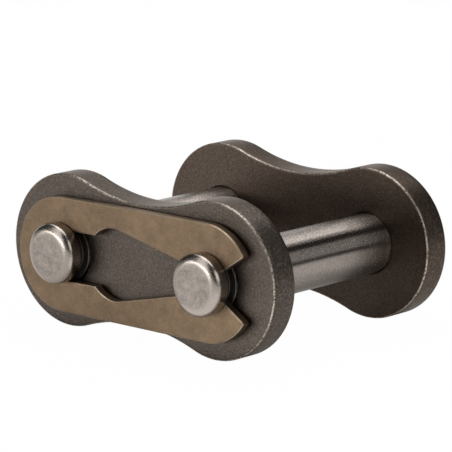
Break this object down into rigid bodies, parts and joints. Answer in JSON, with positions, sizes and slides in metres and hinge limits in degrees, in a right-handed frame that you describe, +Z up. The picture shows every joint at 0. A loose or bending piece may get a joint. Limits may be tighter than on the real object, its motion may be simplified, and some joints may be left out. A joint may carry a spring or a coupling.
{
  "type": "chain connecting link",
  "caption": "Roller chain connecting link: pins riveted into an outer plate, a slip-on cover plate and a flat spring clip.",
  "frame": {"origin": "on the plane of the two pin axes, midway between the axes and midway between the plates", "axes": "+X along the chain from the pin at the clip's closed end to the pin at its open end; +Y along the pins from the cover plate to the outer plate; +Z up"},
  "size_m": [0.034, 0.0286, 0.015],
  "materials": {
    "plate_steel": "dark grey-brown heat-treated and oiled steel, fine matt grain, edges worn bright",
    "pin_steel": "bare ground steel, satin on the side and fine matt on the end faces",
    "clip_steel": "bronze-brown tempered spring steel, satin"
  },
  "bodies": {
    "outer_link": {"outer_plate": "plate_steel", "pin_closed_end": "pin_steel", "pin_open_end": "pin_steel"},
    "cover_plate": {"cover_plate": "plate_steel"},
    "spring_clip": {"spring_clip": "clip_steel"}
  },
  "joints": [
    {"name": "cover_plate_slide", "type": "slide", "parent": "outer_link", "child": "cover_plate", "axis": [0, 1, 0], "range_m": [0, 0.0191]},
    {"name": "clip_slide", "type": "slide", "parent": "outer_link", "child": "spring_clip", "axis": [-1, 0, 0], "range_m": [0, 0.0072], "deforming": ["spring_clip"]}
  ]
}
